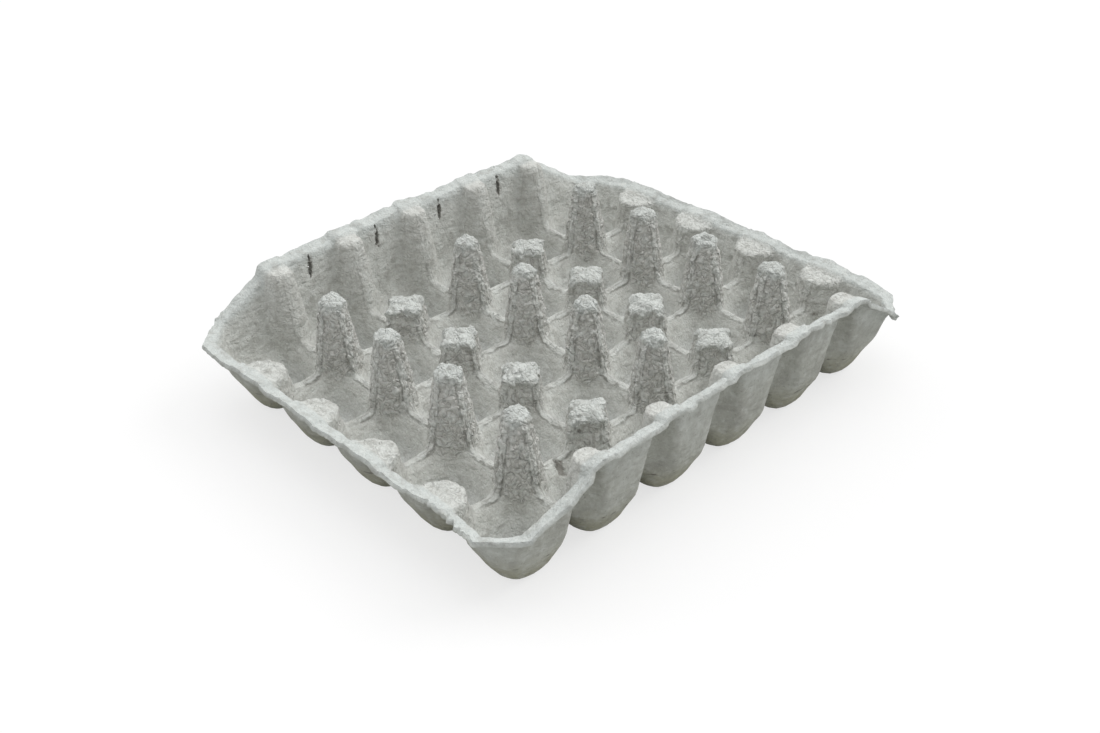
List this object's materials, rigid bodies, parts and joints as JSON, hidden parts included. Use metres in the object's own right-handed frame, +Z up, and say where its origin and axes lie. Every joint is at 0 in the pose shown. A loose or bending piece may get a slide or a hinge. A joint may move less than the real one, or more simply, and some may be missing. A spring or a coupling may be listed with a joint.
{
  "type": "pulp egg tray",
  "caption": "Moulded pulp egg tray: a grid of square cups with hollow posts between them, high long walls, low short walls and a flat rim all round.",
  "frame": {"origin": "Centre of the tray's outline, on the plane that the cups' feet stand on", "axes": "+X across the tray, over its shorter side; +Y along the tray, over its longer side; +Z up"},
  "size_m": [0.2722, 0.3162, 0.068],
  "materials": {
    "moulded_pulp": "matt grey moulded pulp, rough and fibrous on the upper face, smoother below"
  },
  "bodies": {
    "root": {"egg_tray": "moulded_pulp"}
  },
  "joints": []
}
